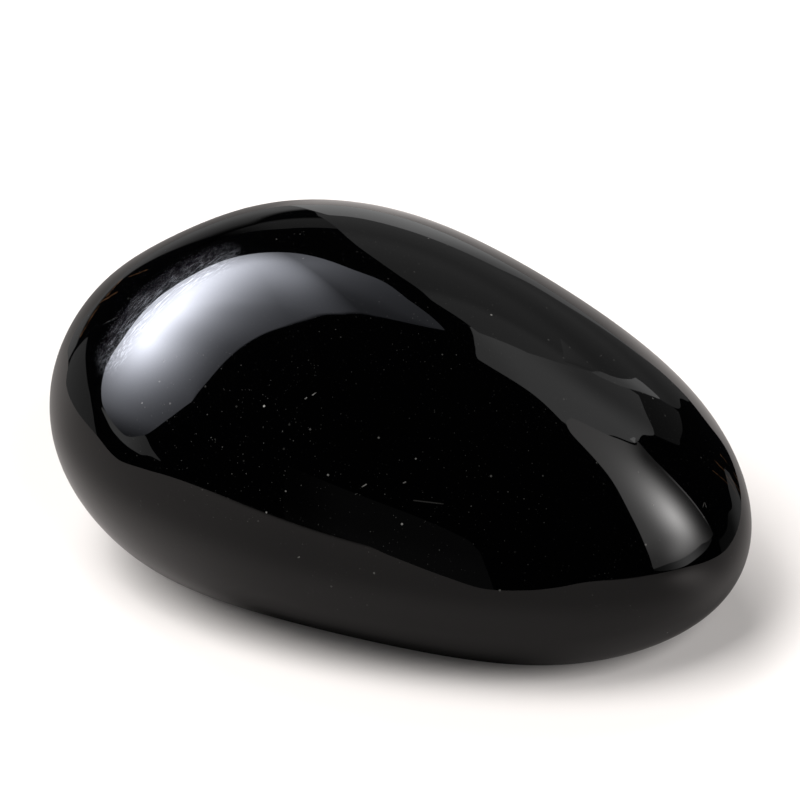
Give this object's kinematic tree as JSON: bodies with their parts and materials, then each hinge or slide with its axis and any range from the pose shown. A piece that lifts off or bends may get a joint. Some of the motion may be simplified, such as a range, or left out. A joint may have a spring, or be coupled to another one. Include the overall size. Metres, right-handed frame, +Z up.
{
  "type": "polished obsidian stone",
  "caption": "Tumbled black obsidian palm stone: a low rounded egg, blunt at one end and lower at the other, mirror polished, resting on a flat worn base.",
  "frame": {"origin": "on the base plane, under the middle of the stone's box", "axes": "+X along the stone towards its lower, narrower end, +Y across it, +Z up from the base"},
  "size_m": [0.0804, 0.0586, 0.0415],
  "materials": {
    "obsidian": "mirror polished black volcanic glass with dust specks and fine hairline scratches"
  },
  "bodies": {
    "root": {"stone": "obsidian"}
  },
  "joints": []
}
